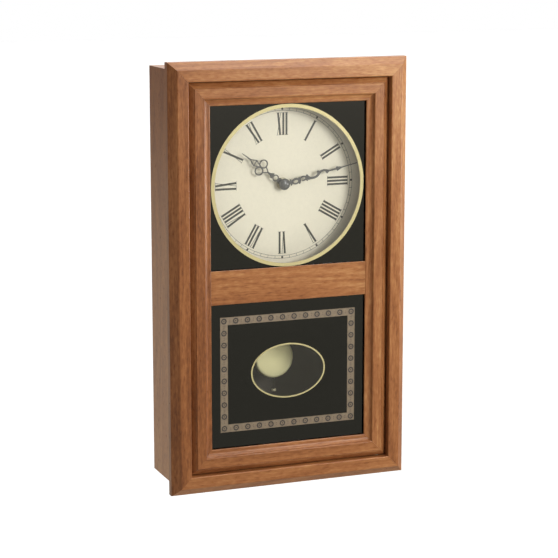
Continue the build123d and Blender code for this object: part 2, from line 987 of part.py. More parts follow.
coil_wall = 3.6
coil_end_gap = 1.0
coil_layer = (stator_layer[0] - coil_wall, stator_layer[1] + coil_wall)
with BuildPart() as motor_coil:
    block(
        movement_front + coil_layer[0],
        movement_front + coil_layer[1],
        window_right - coil_wall,
        stator_right + coil_wall,
        window_low + coil_end_gap,
        window_high - coil_end_gap,
    )
    block(
        movement_front + stator_layer[0] - loose_fit,
        movement_front + stator_layer[1] + loose_fit,
        window_right - loose_fit,
        stator_right + loose_fit,
        window_low,
        window_high,
        Mode.SUBTRACT,
    )
save(motor_coil, "motor_coil")

# Circuit board with its sealed chip and crystal can, along the left wall
circuit_layer = (14.0, 15.0)
circuit_left = -30.5
circuit_right = -20.5
circuit_low = dial_height - 22.0
circuit_high = dial_height + 20.0
circuit_x = (circuit_left + circuit_right) / 2
chip_layer = (12.6, circuit_layer[0])
chip_radius = 3.5
chip_height = dial_height - 10.0
crystal_depth = movement_front + 12.8
crystal_radius = 1.5
crystal_length = 8.0
with BuildPart() as circuit_board:
    block(
        movement_front + circuit_layer[0],
        movement_front + circuit_layer[1],
        circuit_left,
        circuit_right,
        circuit_low,
        circuit_high,
    )
    bar(chip_layer, chip_radius, (circuit_x, chip_height))
    with BuildSketch(upright(circuit_x, crystal_depth, dial_height)):
        Circle(crystal_radius)
    extrude(amount=crystal_length)
save(circuit_board, "circuit_board")

# Battery, lying across the movement, and its two spring contacts
button_radius = 2.6
button_length = 1.2
with BuildPart() as battery:
    battery_end = Plane(
        origin=(battery_left, battery_depth - overall_depth, battery_height - hang_height),
        z_dir=(1, 0, 0),
    )
    with BuildSketch(battery_end):
        Circle(button_radius)
    extrude(amount=button_length)
    with BuildSketch(battery_end.offset(button_length)):
        Circle(battery_radius)
    extrude(amount=battery_length - button_length)
save(battery, "battery")

contact_thick = 0.4
contact_wide = 4.0
battery_right = battery_left + battery_length
with BuildPart() as battery_contacts:
    block(
        battery_depth - contact_wide,
        battery_depth + contact_wide,
        battery_left - contact_thick,
        battery_left,
        battery_height - contact_wide,
        battery_height + contact_wide,
    )
    with BuildSketch(facing(battery_depth + contact_wide)):
        patch(
            (battery_right, battery_height),
            (battery_right + 0.5, battery_height - 0.4),
            (battery_right + 6.5, battery_height + 6.0),
            (battery_right + 6.5, battery_height + 7.0),
        )
    extrude(amount=2 * contact_wide)
save(battery_contacts, "battery_contacts")

# Pendulum drive: a coil in the foot of the movement, and the pin on which the hanger swings
drive_height = swing_height - magnet_drop
drive_coil_front = cover_front - 8.0
drive_coil_back = cover_front - 0.4
drive_coil_radius = 9.5
drive_coil_bore = 3.0
with BuildPart() as pendulum_coil:
    disc(drive_coil_front, drive_coil_back, drive_coil_radius, 0, drive_height)
    disc(drive_coil_front, drive_coil_back, drive_coil_bore, 0, drive_height, Mode.SUBTRACT)
save(pendulum_coil, "pendulum_coil")

hanger_back = hanger_front + hanger_thick
pin_head_front = hanger_back + 0.3
pin_head_thick = 0.8
pin_head_radius = 2.2
with BuildPart() as pendulum_pivot_pin:
    disc(cover_front - pin_seat_depth, pin_head_front, pin_radius, 0, swing_height)
    disc(pin_head_front, pin_head_front + pin_head_thick, pin_head_radius, 0, swing_height)
save(pendulum_pivot_pin, "pendulum_pivot_pin")

# Pendulum: hanger lever with its magnet, rod, bob and end nut
magnet_radius = 6.0
magnet_rim = 2.0
boss_radius = 5.0
lever_width = 6.0
hook_radius = 3.5
hook_height = swing_height - hook_drop
stub_radius = 1.4
eye_radius = 4.0
eye_thick = 2.4
stub_end = rod_depth + eye_thick / 2 + 0.4
with BuildPart() as pendulum_hanger:
    with BuildSketch(facing(hanger_back, 0, swing_height)):
        Circle(boss_radius)
        with Locations((0, -hook_drop / 2)):
            Rectangle(lever_width, hook_drop)
        with Locations((0, -magnet_drop)):
            Circle(magnet_radius + magnet_rim)
        with Locations((0, -hook_drop)):
            Circle(hook_radius)
        with Locations((0, -magnet_drop)):
            Circle(magnet_radius + loose_fit, mode=Mode.SUBTRACT)
        Circle(pin_radius + running_fit, mode=Mode.SUBTRACT)
    extrude(amount=hanger_thick)
    disc(hanger_back, stub_end, stub_radius, 0, hook_height)
save(pendulum_hanger, "pendulum_hanger")

with BuildPart() as drive_magnet:
    disc(hanger_front, hanger_back, magnet_radius, 0, drive_height)
save(drive_magnet, "drive_magnet")

with BuildPart() as pendulum_rod:
    disc(rod_depth - eye_thick / 2, rod_depth + eye_thick / 2, eye_radius, 0, hook_height)
    with BuildSketch(upright(0, rod_depth, rod_low)):
        Circle(rod_radius)
    extrude(amount=hook_height - eye_radius + 1.0 - rod_low)
    disc(
        rod_depth - eye_thick,
        rod_depth + eye_thick,
        stub_radius + 2 * loose_fit,
        0,
        hook_height,
        Mode.SUBTRACT,
    )
save(pendulum_rod, "pendulum_rod")

with BuildPart() as pendulum_bob:
    dome_edge = bob_radius - bob_rim
    dome_rise = bob_rim_front - bob_apex
    half_edge = dome_edge / 2
    dome_radius = (dome_edge**2 + dome_rise**2) / (2 * dome_rise)
    half_rise = dome_radius - (dome_radius**2 - half_edge**2) ** 0.5
    # x is the radius from the bob's axis and y the depth
    half_section = Plane(
        origin=(0, -overall_depth, bob_height - hang_height), x_dir=(1, 0, 0), z_dir=(0, 0, 1)
    )
    with BuildSketch(half_section):
        with BuildLine():
            ThreePointArc(
                (0, bob_apex), (half_edge, bob_apex + half_rise), (dome_edge, bob_rim_front)
            )
            Polyline(
                (dome_edge, bob_rim_front),
                (bob_radius, bob_rim_front),
                (bob_radius, bob_back),
                (0, bob_back),
                (0, bob_apex),
            )
        make_face()
    revolve(axis=Axis((0, 0, bob_height - hang_height), (0, 1, 0)))
    with BuildSketch(upright(0, rod_depth, bob_height - bob_radius - 1)):
        Circle(rod_radius + loose_fit)
    extrude(amount=2 * bob_radius + 2, mode=Mode.SUBTRACT)
save(pendulum_bob, "pendulum_bob")

with BuildPart() as rod_end_nut:
    with BuildSketch(upright(0, rod_depth, end_nut_height - end_nut_tall / 2)):
        Circle(end_nut_radius)
        Circle(rod_radius + loose_fit, mode=Mode.SUBTRACT)
    extrude(amount=end_nut_tall)
    chamfer(rod_end_nut.edges().filter_by(GeomType.CIRCLE).group_by(SortBy.RADIUS)[-1], end_nut_chamfer)
save(rod_end_nut, "rod_end_nut")


def ribbon(points, widths):
    """Curved strip through a line of points, with its own width at each, in the open sketch."""
    left = []
    right = []
    for index, (x, y) in enumerate(points):
        before = points[max(index - 1, 0)]
        after = points[min(index + 1, len(points) - 1)]
        length = hypot(after[0] - before[0], after[1] - before[1])
        across = (-(after[1] - before[1]) / length, (after[0] - before[0]) / length)
        reach = widths[index] / 2
        left.append((x + across[0] * reach, y + across[1] * reach))
        right.append((x - across[0] * reach, y - across[1] * reach))
    with BuildLine() as outline:
        Spline(*left)
        Line(left[-1], right[-1])
        Spline(*reversed(right))
        Line(right[0], left[0])
    make_face(outline.edges())


def strut(start, end, width):
    """Straight strip between two points, in the open sketch."""
    angle = degrees(atan2(end[1] - start[1], end[0] - start[0]))
    length = hypot(end[0] - start[0], end[1] - start[1])
    with Locations(((start[0] + end[0]) / 2, (start[1] + end[1]) / 2)):
        Rectangle(length, width, rotation=angle)


# Hour hand: drawn pointing up from the hub, with its small ring, barb, twin rings, lozenge and needle
with BuildPart() as hour_hand:
    with BuildSketch(facing(hour_hand_back, *hand_axis, hour_angle)):
        Circle(6.2)
        patch((-3.7, 5.0), (3.7, 5.0), (3.3, 8.6), (1.5, 10.0), (-1.5, 10.0), (-3.3, 8.6))
        with Locations((0, 13.2)):
            Circle(4.15)
            Circle(2.8, mode=Mode.SUBTRACT)
        patch((-1.2, 16.4), (1.2, 16.4), (3.7, 17.8), (2.8, 19.6), (1.4, 21.8), (0.7, 26.6),
              (-0.7, 26.6), (-1.4, 21.8), (-2.8, 19.6), (-3.7, 17.8))
        for mirror in (-1, 1):
            ribbon(
                [(mirror * 0.1, 25.2), (mirror * 1.6, 27.4), (mirror * 3.2, 29.8), (mirror * 4.2, 32.0)],
                [1.5, 1.4, 1.4, 1.4],
            )
            with Locations((mirror * 5.1, 36.0)):
                Circle(5.55)
                Circle(3.95, mode=Mode.SUBTRACT)
        for mirror in (-1, 1):
            strut((0, 37.0), (mirror * 3.8, 45.8), 1.3)
            strut((mirror * 3.9, 45.3), (0, 53.2), 1.3)
        strut((-3.9, 45.6), (3.9, 45.6), 1.25)
        patch((-0.95, 51.6), (0.95, 51.6), (0.38, hour_length), (-0.38, hour_length))
        Circle(hour_pipe_outer + press_fit, mode=Mode.SUBTRACT)
    extrude(amount=hand_thick)
save(hour_hand, "hour_hand")

# Minute hand: collar bars, two scrolls, a leaf, the serpentine with its thorns, an arrow barb and a needle
with BuildPart() as minute_hand:
    with BuildSketch(facing(minute_hand_back, *hand_axis, minute_angle)):
        Circle(hub_radius)
        patch((-1.9, 6.0), (1.9, 6.0), (1.9, 12.0), (-1.9, 12.0))
        patch((-4.0, 7.8), (4.2, 7.8), (3.6, 9.4), (-3.4, 9.4))
        patch((-3.0, 9.9), (3.1, 9.9), (2.7, 11.2), (-2.6, 11.2))
        with Locations((0.3, 15.0)):
            Ellipse(4.0, 5.0)
        with Locations((0.7, 14.9)):
            Ellipse(1.8, 3.2, mode=Mode.SUBTRACT)
        patch((-2.2, 17.8), (-3.7, 20.4), (-1.6, 21.6), (3.4, 21.0), (5.3, 19.2), (3.4, 17.6))
        with Locations((-0.3, 24.9)):
            Ellipse(3.2, 5.0)
        with Locations((-0.1, 24.7)):
            Ellipse(1.4, 3.2, mode=Mode.SUBTRACT)
        patch((0.6, 22.0), (3.6, 21.4), (3.6, 22.9), (0.9, 23.3), mode=Mode.SUBTRACT)
        patch((-4.2, 30.8), (-2.2, 28.2), (2.2, 28.0), (4.3, 29.2), (3.0, 30.9), (3.5, 32.3),
              (2.4, 34.8), (0.4, 34.8), (-1.2, 32.6))
        ribbon(
            [(0.9, 30.0), (1.9, 34.5), (2.4, 38.0), (1.4, 43.4), (-1.2, 46.8), (-2.9, 51.0),
             (-2.2, 55.2), (-0.9, 59.0), (-0.2, 65.0), (0, 71.0)],
            [3.2, 3.1, 2.8, 2.9, 3.0, 2.4, 2.4, 2.0, 1.8, 1.5],
        )
        patch((-0.3, 43.8), (-4.8, 44.6), (-4.3, 46.5), (-2.4, 48.8), (-1.2, 47.6))
        patch((-1.8, 54.2), (2.4, 56.4), (-0.1, 60.4))
        patch((-0.7, 68.6), (-2.9, 70.2), (-0.7, 77.2), (0.7, 77.2), (2.8, 70.4), (0.7, 68.6))
        patch((-0.7, 76.0), (0.7, 76.0), (0.36, minute_length), (-0.36, minute_length))
        Circle(minute_tip_radius + press_fit, mode=Mode.SUBTRACT)
    extrude(amount=hand_thick)
save(minute_hand, "minute_hand")

# Domed nut that closes the minute hand's hub
nut_base = minute_hand_back - hand_thick
with BuildPart() as hand_nut:
    nut_section = Plane(
        origin=(0, -overall_depth, dial_height - hang_height), x_dir=(1, 0, 0), z_dir=(0, 0, 1)
    )
    with BuildSketch(nut_section):
        with BuildLine():
            ThreePointArc(
                (0, nut_base - hand_nut_rise),
                (0.58 * hand_nut_radius, nut_base - 0.7 * hand_nut_rise),
                (hand_nut_radius, nut_base - hand_nut_rim),
            )
            Polyline(
                (hand_nut_radius, nut_base - hand_nut_rim),
                (hand_nut_radius, nut_base),
                (minute_tip_radius + press_fit, nut_base),
                (minute_tip_radius + press_fit, nut_base - hand_nut_bore),
                (0, nut_base - hand_nut_bore),
                (0, nut_base - hand_nut_rise),
            )
        make_face()
    revolve(axis=Axis((0, 0, dial_height - hang_height), (0, 1, 0)))
save(hand_nut, "hand_nut")
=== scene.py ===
import math
import bmesh
import bpy
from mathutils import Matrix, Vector


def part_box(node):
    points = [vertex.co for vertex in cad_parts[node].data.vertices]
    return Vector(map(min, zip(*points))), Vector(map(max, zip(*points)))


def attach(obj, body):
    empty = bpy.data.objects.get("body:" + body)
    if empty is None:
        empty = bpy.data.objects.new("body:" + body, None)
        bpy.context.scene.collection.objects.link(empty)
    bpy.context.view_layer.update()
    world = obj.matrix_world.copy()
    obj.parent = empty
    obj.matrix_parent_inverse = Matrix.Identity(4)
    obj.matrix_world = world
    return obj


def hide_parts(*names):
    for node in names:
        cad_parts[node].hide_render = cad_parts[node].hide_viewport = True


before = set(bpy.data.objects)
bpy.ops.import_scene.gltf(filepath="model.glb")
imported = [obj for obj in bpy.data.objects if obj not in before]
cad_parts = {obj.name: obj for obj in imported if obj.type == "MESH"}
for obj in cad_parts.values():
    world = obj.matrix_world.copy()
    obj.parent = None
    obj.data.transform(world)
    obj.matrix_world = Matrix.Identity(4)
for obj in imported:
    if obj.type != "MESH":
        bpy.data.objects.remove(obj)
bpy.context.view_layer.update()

# Case boards: two sides, a top and a bottom of solid cherry 12.7 mm thick, rebated behind for the back panel.
# Each is a straight length with its long edges eased, sawn at 45 degrees and glued at the corners.
# The section is in millimetres, inwards from the outer face and back from the clock's front.
clock_depth, keyhole_height = 101.6, 218.0
case_section = [(12.7, 19.05), (0.0, 19.05), (0.0, clock_depth), (5.7, clock_depth),
                (5.7, 96.1), (12.7, 96.1)]
case_easing = {(0.0, clock_depth): 0.9, (5.7, clock_depth): 0.6, (12.7, 96.1): 0.6, (0.0, 19.05): 0.3}
mitre_gap = 0.00006
along_x, along_z = 0, 2
# The left side is painted darker than the others, and darker still towards its top, as painted shade; the
# others' paleness is their own board tone.
case_boards = {  # side, grain, place in the tree, how pale, how much paler per metre
    "left_side": ("left", along_z, 1.7, 0.02, -0.5),
    "right_side": ("right", along_z, 5.2, 0.1, 0.0),
    "top": ("top", along_x, 9.1, 0.1, 0.0),
    "bottom": ("bottom", along_x, 13.6, 0.1, 0.0),
}


def spot(x, depth, height):
    """A point in metres, from millimetres across, behind the clock's front and above its mid-height."""
    return Vector((x, depth - clock_depth, height - keyhole_height)) / 1000


def start(kind, **sizes):
    """Add one primitive with nothing else selected, and hand it back."""
    bpy.ops.object.select_all(action="DESELECT")
    getattr(bpy.ops.mesh, "primitive_" + kind + "_add")(**sizes)
    return bpy.context.object


def pick(piece, wanted):
    """In edit mode, select only the corners that are wanted."""
    bpy.ops.mesh.select_mode(type="VERT")
    bpy.ops.mesh.select_all(action="DESELECT")
    mesh = bmesh.from_edit_mesh(piece.data)
    for vertex in mesh.verts:
        vertex.select_set(bool(wanted(vertex)))
    mesh.select_flush_mode()
    bmesh.update_edit_mesh(piece.data)


def tidy_normals():
    """In edit mode, merge corners that lie together and turn every face outwards."""
    bpy.ops.mesh.select_all(action="SELECT")
    bpy.ops.mesh.remove_doubles(threshold=1e-7)
    bpy.ops.mesh.normals_make_consistent(inside=False)


def smooth(piece, degrees=40):
    """Shade the rounded edges smooth and keep the flats flat."""
    bpy.ops.object.select_all(action="DESELECT")
    piece.select_set(True)
    bpy.context.view_layer.objects.active = piece
    bpy.ops.object.shade_smooth_by_angle(angle=math.radians(degrees))
    bpy.ops.object.modifier_add(type="WEIGHTED_NORMAL")
    piece.modifiers[-1].keep_sharp = True
    bpy.ops.object.modifier_apply(modifier=piece.modifiers[-1].name)


def mitred_length(name, node, side, section, easing):
    """A moulded length on one side of a frame: its section drawn, eased, run out and sawn at both ends."""
    outward, run = {
        "left": (Vector((-1, 0, 0)), Vector((0, 0, 1))),
        "right": (Vector((1, 0, 0)), Vector((0, 0, 1))),
        "top": (Vector((0, 0, 1)), Vector((1, 0, 0))),
        "bottom": (Vector((0, 0, -1)), Vector((1, 0, 0))),
    }[side]
    low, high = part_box(node)
    corner = Vector((high.x if outward.x > 0 else low.x, 0, high.z if outward.z > 0 else low.z))
    length = (high - low).dot(run)

    def place(inset, depth):
        return corner - outward * inset / 1000 + Vector((0, (depth - clock_depth) / 1000, 0))

    piece = start("circle", vertices=len(section), radius=0.01, fill_type="NGON")
    piece.name = piece.data.name = name
    for vertex, point in zip(piece.data.vertices, section):
        vertex.co = place(*point)
    bpy.ops.object.mode_set(mode="EDIT")
    for point, radius in easing.items():
        pick(piece, lambda vertex: (vertex.co - place(*point)).length < 1e-5)
        bpy.ops.mesh.bevel(offset=radius / 1000, segments=4, affect="VERTICES")
    bpy.ops.mesh.select_all(action="SELECT")
    bpy.ops.mesh.extrude_region_move(TRANSFORM_OT_translate={"value": run * length})
    saw_cuts = ((corner + run * mitre_gap, run + outward),
                (corner + run * (length - mitre_gap), outward - run))
    for end, keep in saw_cuts:
        bpy.ops.mesh.select_all(action="SELECT")
        bpy.ops.mesh.bisect(plane_co=end, plane_no=keep, use_fill=True, clear_inner=True)
    tidy_normals()
    bpy.ops.object.mode_set(mode="OBJECT")
    smooth(piece)
    return piece


def cherry(name, grain, seed, pale=0.0, painted_light_slope=0.0):
    """Satin lacquered cherry with its grain along one axis. How pale it is stands partly for the board's own
    tone and partly for painted light; the paling per metre along the grain is painted light, paler where the
    light falls more.
    """
    mid_clock = (0.0, -0.05, -0.218)
    ring_count, ring_waver = 55.0, 3.0
    pore_contrast, pore_share, pore_round = 7.0, -4.1, 0.1
    base_tone, streak_tone, fine_tone = -0.20, 0.29, 0.45
    mottle_tone, ring_tone, pore_tone = 0.46, 0.07, -0.14
    base_roughness, pore_roughness, mottle_roughness = 0.24, 0.12, 0.12
    fine_relief, pore_relief = 0.6, -1.0
    wood = bpy.data.materials.new(name)
    wood.use_nodes = True
    nodes, links = wood.node_tree.nodes, wood.node_tree.links
    lacquer = nodes["Principled BSDF"]
    place = nodes.new("ShaderNodeTexCoord").outputs["Object"]

    def fibres(across, along, detail, shift, distortion=0.0):
        lay = nodes.new("ShaderNodeMapping")
        lay.inputs["Scale"].default_value = [along if axis == grain else across for axis in range(3)]
        lay.inputs["Location"].default_value = (seed + shift, 1.7 * seed - shift, 0.6 * seed + 2 * shift)
        links.new(place, lay.inputs["Vector"])
        noise = nodes.new("ShaderNodeTexNoise")
        noise.inputs["Scale"].default_value = 1.0
        noise.inputs["Detail"].default_value = detail
        noise.inputs["Distortion"].default_value = distortion
        links.new(lay.outputs["Vector"], noise.inputs["Vector"])
        return noise.outputs["Fac"]

    def work(operation, *values):
        step = nodes.new("ShaderNodeMath")
        step.operation = operation
        for socket, value in zip(step.inputs, values):
            if isinstance(value, (int, float)):
                socket.default_value = value
            else:
                links.new(value, socket)
        return step.outputs[0]

    figure = fibres(across=17.0, along=2.2, detail=1.5, shift=0.0, distortion=0.25)
    streak = fibres(across=330.0, along=9.0, detail=4.0, shift=3.1)
    fine = fibres(across=1100.0, along=60.0, detail=2.0, shift=7.4)
    fleck = fibres(across=900.0, along=130.0, detail=1.0, shift=5.7)
    mottle = fibres(across=360.0, along=130.0, detail=2.0, shift=8.3)
    rings = work("SINE", work("MULTIPLY_ADD", figure, ring_count, work("MULTIPLY", streak, ring_waver)))
    pores = work("MAXIMUM", work("MULTIPLY_ADD", fleck, pore_contrast, pore_share), 0.0)
    pores = work("SMOOTH_MIN", pores, 1.0, pore_round)
    split = nodes.new("ShaderNodeSeparateXYZ")
    links.new(place, split.inputs["Vector"])
    # The paleness and the paling per metre paint light and shade into the wood's tone, on top of its own
    # streaks, figure, rings and pores.
    tone = work("MULTIPLY_ADD", streak, streak_tone, base_tone + pale - painted_light_slope * mid_clock[grain])
    for layer, share in ((fine, fine_tone), (mottle, mottle_tone), (rings, ring_tone), (pores, pore_tone),
                         (split.outputs[grain], painted_light_slope)):
        tone = work("MULTIPLY_ADD", layer, share, tone)
    ramp = nodes.new("ShaderNodeValToRGB")
    stops = ramp.color_ramp.elements
    stops[0].position, stops[0].color = 0.0, (0.13, 0.043, 0.016, 1)
    stops[1].position, stops[1].color = 1.0, (0.63, 0.370, 0.160, 1)
    for position, colour in ((0.25, (0.23, 0.080, 0.026, 1)), (0.5, (0.34, 0.136, 0.047, 1)),
                             (0.75, (0.47, 0.236, 0.091, 1))):
        stops.new(position).color = colour
    links.new(tone, ramp.inputs["Fac"])
    links.new(ramp.outputs["Color"], lacquer.inputs["Base Color"])
    roughness = work("MULTIPLY_ADD", pores, pore_roughness, base_roughness)
    links.new(work("MULTIPLY_ADD", mottle, mottle_roughness, roughness), lacquer.inputs["Roughness"])
    relief = nodes.new("ShaderNodeBump")
    relief.inputs["Strength"].default_value = 0.12
    relief.inputs["Distance"].default_value = 0.0002
    height = work("MULTIPLY_ADD", pores, pore_relief, work("MULTIPLY", fine, fine_relief))
    links.new(height, relief.inputs["Height"])
    links.new(relief.outputs["Normal"], lacquer.inputs["Normal"])
    lacquer.inputs["Specular IOR Level"].default_value = 0.28
    lacquer.inputs["Specular Tint"].default_value = (1.0, 0.94, 0.84, 1)
    return wood


def dress(piece, material):
    """Give a piece or a CAD node one material all over."""
    if not piece.material_slots:
        piece.data.materials.append(material)
    for place in piece.material_slots:
        place.material = material


for board, (side, grain, seed, pale, painted_light_slope) in case_boards.items():
    piece = mitred_length("case_" + board + "_board", "case_" + board, side, case_section, case_easing)
    dress(piece, cherry("cherry case " + board, grain, seed, pale, painted_light_slope))
    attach(piece, "case")
    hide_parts("case_" + board)

# Back of the case: a fibreboard panel with an access hole, a solid hanging rail above it, a stamped
# keyhole plate, and countersunk wood screws, all let into the rebate and held by the screws.
panel_colour = (0.118, 0.100, 0.082)
zinc_colour = (0.62, 0.62, 0.60)


def speckled(name, colour, roughness, scale, spread, metal=0.0, relief=0.1, stretch=(1, 1, 1)):
    """A fine uneven surface: flecks in the colour and the shine, and a slight grain to the touch."""
    colour_flecks, shine_flecks, shine_spread = (0.28, 0.72), (0.25, 0.75), 0.15
    finish = bpy.data.materials.new(name)
    finish.use_nodes = True
    nodes, links = finish.node_tree.nodes, finish.node_tree.links
    surface = nodes["Principled BSDF"]
    surface.inputs["Metallic"].default_value = metal
    lay = nodes.new("ShaderNodeMapping")
    lay.inputs["Scale"].default_value = [scale * part for part in stretch]
    links.new(nodes.new("ShaderNodeTexCoord").outputs["Object"], lay.inputs["Vector"])
    noise = nodes.new("ShaderNodeTexNoise")
    noise.inputs["Scale"].default_value = 1.0
    noise.inputs["Detail"].default_value = 4.0
    links.new(lay.outputs["Vector"], noise.inputs["Vector"])
    ramp = nodes.new("ShaderNodeValToRGB")
    for stop, position, share in zip(ramp.color_ramp.elements, colour_flecks, (1 - spread, 1 + spread)):
        stop.position = position
        stop.color = [min(1.0, part * share) for part in colour] + [1]
    links.new(noise.outputs["Fac"], ramp.inputs["Fac"])
    links.new(ramp.outputs["Color"], surface.inputs["Base Color"])
    shine = nodes.new("ShaderNodeMapRange")
    shine.inputs["From Min"].default_value, shine.inputs["From Max"].default_value = shine_flecks
    shine.inputs["To Min"].default_value = roughness * (1 - shine_spread)
    shine.inputs["To Max"].default_value = roughness * (1 + shine_spread)
    links.new(noise.outputs["Fac"], shine.inputs["Value"])
    links.new(shine.outputs["Result"], surface.inputs["Roughness"])
    bump = nodes.new("ShaderNodeBump")
    bump.inputs["Strength"].default_value = relief
    bump.inputs["Distance"].default_value = 0.0001
    links.new(noise.outputs["Fac"], bump.inputs["Height"])
    links.new(bump.outputs["Normal"], surface.inputs["Normal"])
    return finish


zinc = speckled("zinc plated steel", zinc_colour, roughness=0.38, scale=900.0, spread=0.12, metal=1.0)
fibreboard = speckled("dark fibreboard", panel_colour, roughness=0.72, scale=700.0, spread=0.3, relief=0.3)
dress(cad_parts["back_panel"], fibreboard)
dress(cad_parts["hanging_rail"], cherry("cherry hanging rail", along_x, 21.5))
dress(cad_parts["hanger_plate"], zinc)
dress(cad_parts["case_screws"], zinc)

# Face frame: four lengths of cherry 19 mm thick with a wide bevel on the outer edge, glued to the case.
# The ends are sawn at 45 degrees, and the mitres show as fine lines.
frame_section = [(23.2, 19.05), (23.2, 0.7), (22.5, 0.0), (9.5, 0.0), (0.0, 9.5), (0.0, 19.05)]
frame_easing = {(23.2, 0.7): 0.35, (22.5, 0.0): 0.45, (9.5, 0.0): 0.9, (0.0, 9.5): 0.9, (0.0, 19.05): 0.6}
# How pale each length is stands partly for its own board tone and partly for painted light: the left is
# painted darker, and every length paler towards the top and the right, most of all the right and top lengths,
# where the light falls.
for side, grain, seed, pale, painted_light_slope in (
        ("left", along_z, 31.4, -0.13, 0.2), ("right", along_z, 36.9, 0.03, 0.6),
        ("top", along_x, 44.2, 0.10, 0.6), ("bottom", along_x, 47.8, 0.0, 0.2)):
    piece = mitred_length("face_frame_" + side + "_length", "face_frame_" + side, side,
                          frame_section, frame_easing)
    dress(piece, cherry("cherry face frame " + side, grain, seed, pale, painted_light_slope))
    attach(piece, "case")
    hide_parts("face_frame_" + side)

# Dial: a thin enamelled metal plate on a fibreboard that stands on two cherry cleats inside the case.
# Its face is cream and plain in the middle.
cream = (0.765, 0.710, 0.560)
board_brown = (0.24, 0.17, 0.105)
dial_board = speckled("dial fibreboard", board_brown, roughness=0.75, scale=700.0, spread=0.3, relief=0.3)
enamel = speckled("cream enamel", cream, roughness=0.5, scale=260.0, spread=0.025, relief=0.03)
dress(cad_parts["dial_cleats"], cherry("cherry dial cleats", along_z, 52.3))
dress(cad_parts["dial_board"], dial_board)
dress(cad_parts["dial_plate"], enamel)

# Roman numerals: printed in dark ink with their feet to the centre, in thick and thin strokes with serifs.
# Four is written IIII, as clock dials have it. A letter is its width and its strokes in millimetres,
# each stroke by its place at the top, its place at the foot and its thickness.
dial_height = 109.0
dial_centre = spot(0, 33.4, dial_height)
ink_colour = (0.038, 0.036, 0.028)
ink_layer = 0.00003
numeral_inner, numeral_outer = 0.0588, 0.0860
thick_stroke, thin_stroke, letter_gap = 2.5, 0.6, 1.6
serif_reach, serif_line = 0.95, 0.00035
letters = {"I": (2.5, [(1.25, 1.25, thick_stroke)]),
           "V": (5.2, [(1.25, 2.85, thick_stroke), (4.9, 3.3, thin_stroke)]),
           "X": (5.2, [(1.25, 4.0, thick_stroke), (4.7, 0.4, thin_stroke)])}
numerals = ["I", "II", "III", "IIII", "V", "VI", "VII", "VIII", "IX", "X", "XI", "XII"]


def printed(corners, layer, turn=0.0, centre=dial_centre):
    """A flat patch of print with its corners given across and up from the centre, in metres."""
    patch = start("circle", vertices=len(corners), radius=0.01, fill_type="NGON", location=centre)
    for vertex, (across, up) in zip(patch.data.vertices, corners):
        vertex.co = (across, 0, up)
    bpy.ops.object.mode_set(mode="EDIT")
    bpy.ops.mesh.select_all(action="SELECT")
    bpy.ops.mesh.extrude_region_move(TRANSFORM_OT_translate={"value": (0, -layer, 0)})
    tidy_normals()
    bpy.ops.object.mode_set(mode="OBJECT")
    patch.rotation_euler = (0, turn, 0)
    return patch


def joined(name, parts):
    """Join the parts to one piece whose place is in its mesh."""
    bpy.ops.object.select_all(action="DESELECT")
    for part in parts:
        part.select_set(True)
    bpy.context.view_layer.objects.active = parts[0]
    bpy.ops.object.join()
    bpy.ops.object.transform_apply(location=True, rotation=True, scale=True)
    whole = bpy.context.object
    whole.name = whole.data.name = name
    return whole


strokes = []
foot, top = numeral_inner + serif_line, numeral_outer - serif_line
for hour, numeral in enumerate(numerals, 1):
    width = sum(letters[letter][0] for letter in numeral) + letter_gap * (len(numeral) - 1)
    left = -width / 2
    for letter in numeral:
        for outer, inner, thick in letters[letter][1]:
            half = thick / 2
            patches = [(inner, half, foot, outer, half, top)]
            for end, low in ((inner, numeral_inner), (outer, top)):
                patches.append((end, half + serif_reach, low, end, half + serif_reach, low + serif_line))
            for low_x, low_half, low_z, high_x, high_half, high_z in patches:
                ends = [((left + low_x - low_half) / 1000, low_z), ((left + low_x + low_half) / 1000, low_z),
                        ((left + high_x + high_half) / 1000, high_z),
                        ((left + high_x - high_half) / 1000, high_z)]
                strokes.append(printed(ends, ink_layer, math.radians(30 * hour)))
        left += letters[letter][0] + letter_gap
piece = joined("dial_numerals", strokes)
ink = speckled("dial ink", ink_colour, roughness=0.55, scale=900.0, spread=0.15, relief=0.03)
dress(piece, ink)
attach(piece, "case")

# Minute track: two fine printed circles with a tick at each minute and a small square at each hour.
# It is printed on the enamel in the same dark ink as the numerals, outside them.
track_inner, track_outer, track_line = 0.0887, 0.0920, 0.0004
half_square, square_layer = 0.0012, 1.5 * ink_layer


def copy_of(part, turn):
    """A copy with its own mesh, turned about the dial's centre."""
    bpy.ops.object.select_all(action="DESELECT")
    part.select_set(True)
    bpy.context.view_layer.objects.active = part
    bpy.ops.object.duplicate(linked=False)
    bpy.context.object.rotation_euler = (0, turn, 0)
    return bpy.context.object


def outlined(patch, line, layer):
    """Keep only a line along the edge of a flat patch, and give it the thickness of its ink."""
    bpy.ops.object.mode_set(mode="EDIT")
    bpy.ops.mesh.select_all(action="SELECT")
    bpy.ops.mesh.inset(thickness=line, use_even_offset=True)
    bpy.ops.mesh.delete(type="FACE")
    bpy.ops.mesh.select_all(action="SELECT")
    bpy.ops.mesh.extrude_region_move(TRANSFORM_OT_translate={"value": (0, -layer, 0)})
    tidy_normals()
    bpy.ops.object.mode_set(mode="OBJECT")
    return patch


def printed_line(centre, half_width, half_height, line, layer, sides=180):
    """A closed printed line round a centre, oval or round, set in from its outer edge."""
    ring = start("circle", vertices=sides, radius=1.0, fill_type="NGON", location=centre)
    for vertex in ring.data.vertices:
        vertex.co = (vertex.co.x * half_width, 0, vertex.co.y * half_height)
    return outlined(ring, line, layer)


